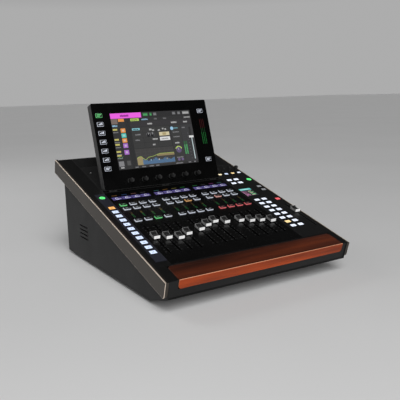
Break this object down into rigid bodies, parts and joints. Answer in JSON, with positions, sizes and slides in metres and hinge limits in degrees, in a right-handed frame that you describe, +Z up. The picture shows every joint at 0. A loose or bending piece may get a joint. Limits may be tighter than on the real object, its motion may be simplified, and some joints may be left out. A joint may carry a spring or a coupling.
{
  "type": "digital audio mixing console",
  "caption": "Compact sloping digital mixing console with motor faders, lit keys, small displays, a folding touch screen and a wooden armrest.",
  "frame": {"origin": "on the surface the console stands on, under the middle of its bounding box", "axes": "+X to the operator's right, +Y to the rear, +Z up"},
  "size_m": [0.45, 0.5804, 0.372],
  "materials": {
    "black_steel": "fine textured black powder coat",
    "trim": "brushed, warm grey anodised",
    "deck": "gloss black printed overlay",
    "section": "satin dark grey",
    "strip": "satin mid grey",
    "pocket": "satin grey powder coat",
    "lip": "fine moulded texture",
    "armrest": "red-brown stain with open grain, satin lacquer",
    "rubber": "matt",
    "screen_shell": "satin dark grey",
    "glass": "black-backed cover glass",
    "display": "colour touch display",
    "hinge": "satin black paint",
    "cap": "silver front and rim with a dark saddle",
    "key": "back-lit translucent key",
    "channel_key": "dark key with back-lit rim",
    "knob": "fluted black knob",
    "window": "smoked window over lit display",
    "socket": "black nylon with steel contacts",
    "zinc": "zinc plated steel",
    "alloy": "plain mill finish",
    "board": "green solder mask"
  },
  "bodies": {
    "console": {"chassis": "black_steel", "upper_rear_panel": "black_steel", "lower_rear_panels": "black_steel", "side_trims": "trim", "left_cheek": "lip", "button_strip": "strip", "channel_panel": "deck", "master_panel": "section", "screen_pocket": "pocket", "front_lip": "lip", "armrest": "armrest", "feet": "rubber", "hinge_brackets": "hinge", "fader_tracks": "alloy", "fader_motors": "zinc", "panel_windows": "window", "microphone_inputs": "socket", "line_outputs": "socket", "network_sockets": "socket", "mains_inlet": "socket", "rear_screws": "zinc", "main_board": "board", "power_supply": "alloy"},
    "screen": {"screen_housing": "screen_shell", "screen_glass": "glass", "display_module": "display", "hinge_arms": "hinge"},
    "fader_1": {"fader_cap_1": "cap"},
    "fader_2": {"fader_cap_2": "cap"},
    "fader_3": {"fader_cap_3": "cap"},
    "fader_4": {"fader_cap_4": "cap"},
    "fader_5": {"fader_cap_5": "cap"},
    "fader_6": {"fader_cap_6": "cap"},
    "fader_7": {"fader_cap_7": "cap"},
    "fader_8": {"fader_cap_8": "cap"},
    "fader_9": {"fader_cap_9": "cap"},
    "fader_10": {"fader_cap_10": "cap"},
    "fader_11": {"fader_cap_11": "cap"},
    "fader_12": {"fader_cap_12": "cap"},
    "fader_main": {"fader_cap_main": "cap"},
    "select_key_group": {"select_keys": "channel_key"},
    "solo_key_group": {"solo_keys": "channel_key"},
    "mute_key_group": {"mute_keys": "channel_key"},
    "column_key_group": {"column_keys": "key"},
    "round_key_group": {"round_keys": "key"},
    "function_key_group": {"function_keys": "key"},
    "monitor_key_group": {"monitor_keys": "key"},
    "layer_key_group": {"layer_keys": "key"},
    "screen_key_group": {"screen_keys": "key"},
    "screen_knob_1": {"screen_knob_1": "knob"},
    "screen_knob_2": {"screen_knob_2": "knob"},
    "screen_knob_3": {"screen_knob_3": "knob"},
    "screen_knob_4": {"screen_knob_4": "knob"},
    "screen_knob_5": {"screen_knob_5": "knob"},
    "screen_knob_6": {"screen_knob_6": "knob"},
    "panel_knob_1": {"panel_knob_1": "knob"},
    "panel_knob_2": {"panel_knob_2": "knob"},
    "panel_knob_3": {"panel_knob_3": "knob"},
    "panel_knob_4": {"panel_knob_4": "knob"},
    "power_switch": {"power_switch": "socket"}
  },
  "joints": [
    {"name": "screen_tilt", "type": "hinge", "parent": "console", "child": "screen", "pos_m": [-0.02305, 0.07467, 0.17146], "axis": [1, 0, 0], "range_deg": [-56.8, 8]},
    {"name": "fader_1_slide", "type": "slide", "parent": "console", "child": "fader_1", "axis": [0, 0.9588, 0.284], "range_m": [-0.059, 0.041]},
    {"name": "fader_2_slide", "type": "slide", "parent": "console", "child": "fader_2", "axis": [0, 0.9588, 0.284], "range_m": [-0.051, 0.049]},
    {"name": "fader_3_slide", "type": "slide", "parent": "console", "child": "fader_3", "axis": [0, 0.9588, 0.284], "range_m": [-0.043, 0.057]},
    {"name": "fader_4_slide", "type": "slide", "parent": "console", "child": "fader_4", "axis": [0, 0.9588, 0.284], "range_m": [-0.053, 0.047]},
    {"name": "fader_5_slide", "type": "slide", "parent": "console", "child": "fader_5", "axis": [0, 0.9588, 0.284], "range_m": [-0.061, 0.039]},
    {"name": "fader_6_slide", "type": "slide", "parent": "console", "child": "fader_6", "axis": [0, 0.9588, 0.284], "range_m": [-0.073, 0.027]},
    {"name": "fader_7_slide", "type": "slide", "parent": "console", "child": "fader_7", "axis": [0, 0.9588, 0.284], "range_m": [-0.082, 0.018]},
    {"name": "fader_8_slide", "type": "slide", "parent": "console", "child": "fader_8", "axis": [0, 0.9588, 0.284], "range_m": [-0.072, 0.028]},
    {"name": "fader_9_slide", "type": "slide", "parent": "console", "child": "fader_9", "axis": [0, 0.9588, 0.284], "range_m": [-0.068, 0.032]},
    {"name": "fader_10_slide", "type": "slide", "parent": "console", "child": "fader_10", "axis": [0, 0.9588, 0.284], "range_m": [-0.06, 0.04]},
    {"name": "fader_11_slide", "type": "slide", "parent": "console", "child": "fader_11", "axis": [0, 0.9588, 0.284], "range_m": [-0.055, 0.045]},
    {"name": "fader_12_slide", "type": "slide", "parent": "console", "child": "fader_12", "axis": [0, 0.9588, 0.284], "range_m": [-0.046, 0.054]},
    {"name": "fader_main_slide", "type": "slide", "parent": "console", "child": "fader_main", "axis": [0, 0.9588, 0.284], "range_m": [-0.069, 0.031]},
    {"name": "select_key_group_press", "type": "slide", "parent": "console", "child": "select_key_group", "axis": [0, 0.284, -0.9588], "range_m": [0, 0.0008], "stiffness_N_per_m": 600, "springref_m": -0.001},
    {"name": "solo_key_group_press", "type": "slide", "parent": "console", "child": "solo_key_group", "axis": [0, 0.284, -0.9588], "range_m": [0, 0.0008], "stiffness_N_per_m": 600, "springref_m": -0.001},
    {"name": "mute_key_group_press", "type": "slide", "parent": "console", "child": "mute_key_group", "axis": [0, 0.284, -0.9588], "range_m": [0, 0.0008], "stiffness_N_per_m": 600, "springref_m": -0.001},
    {"name": "column_key_group_press", "type": "slide", "parent": "console", "child": "column_key_group", "axis": [0, 0.284, -0.9588], "range_m": [0, 0.0008], "stiffness_N_per_m": 600, "springref_m": -0.001},
    {"name": "round_key_group_press", "type": "slide", "parent": "console", "child": "round_key_group", "axis": [0, 0.284, -0.9588], "range_m": [0, 0.0008], "stiffness_N_per_m": 600, "springref_m": -0.001},
    {"name": "function_key_group_press", "type": "slide", "parent": "console", "child": "function_key_group", "axis": [0, 0.284, -0.9588], "range_m": [0, 0.0008], "stiffness_N_per_m": 600, "springref_m": -0.001},
    {"name": "monitor_key_group_press", "type": "slide", "parent": "console", "child": "monitor_key_group", "axis": [0, 0.284, -0.9588], "range_m": [0, 0.0008], "stiffness_N_per_m": 600, "springref_m": -0.001},
    {"name": "layer_key_group_press", "type": "slide", "parent": "console", "child": "layer_key_group", "axis": [0, 0.284, -0.9588], "range_m": [0, 0.0008], "stiffness_N_per_m": 600, "springref_m": -0.001},
    {"name": "screen_key_group_press", "type": "slide", "parent": "screen", "child": "screen_key_group", "axis": [0, 0.9578, -0.2874], "range_m": [0, 0.0008], "stiffness_N_per_m": 600, "springref_m": -0.001},
    {"name": "screen_knob_1_turn", "type": "hinge", "parent": "screen", "child": "screen_knob_1", "pos_m": [-0.114, 0.07754, 0.19148], "axis": [0, -0.9578, 0.2874], "continuous": true},
    {"name": "screen_knob_2_turn", "type": "hinge", "parent": "screen", "child": "screen_knob_2", "pos_m": [-0.0775, 0.07754, 0.19148], "axis": [0, -0.9578, 0.2874], "continuous": true},
    {"name": "screen_knob_3_turn", "type": "hinge", "parent": "screen", "child": "screen_knob_3", "pos_m": [-0.041, 0.07754, 0.19148], "axis": [0, -0.9578, 0.2874], "continuous": true},
    {"name": "screen_knob_4_turn", "type": "hinge", "parent": "screen", "child": "screen_knob_4", "pos_m": [-0.0045, 0.07754, 0.19148], "axis": [0, -0.9578, 0.2874], "continuous": true},
    {"name": "screen_knob_5_turn", "type": "hinge", "parent": "screen", "child": "screen_knob_5", "pos_m": [0.032, 0.07754, 0.19148], "axis": [0, -0.9578, 0.2874], "continuous": true},
    {"name": "screen_knob_6_turn", "type": "hinge", "parent": "screen", "child": "screen_knob_6", "pos_m": [0.0685, 0.07754, 0.19148], "axis": [0, -0.9578, 0.2874], "continuous": true},
    {"name": "panel_knob_1_turn", "type": "hinge", "parent": "console", "child": "panel_knob_1", "pos_m": [0.1495, 0.10769, 0.18245], "axis": [0, -0.284, 0.9588], "continuous": true},
    {"name": "panel_knob_2_turn", "type": "hinge", "parent": "console", "child": "panel_knob_2", "pos_m": [0.1696, 0.10769, 0.18245], "axis": [0, -0.284, 0.9588], "continuous": true},
    {"name": "panel_knob_3_turn", "type": "hinge", "parent": "console", "child": "panel_knob_3", "pos_m": [0.1897, 0.10769, 0.18245], "axis": [0, -0.284, 0.9588], "continuous": true},
    {"name": "panel_knob_4_turn", "type": "hinge", "parent": "console", "child": "panel_knob_4", "pos_m": [0.2098, 0.10769, 0.18245], "axis": [0, -0.284, 0.9588], "continuous": true},
    {"name": "power_switch_rock", "type": "hinge", "parent": "console", "child": "power_switch", "pos_m": [-0.172, 0.236, 0.092], "axis": [1, 0, 0], "range_deg": [-14, 0]}
  ]
}
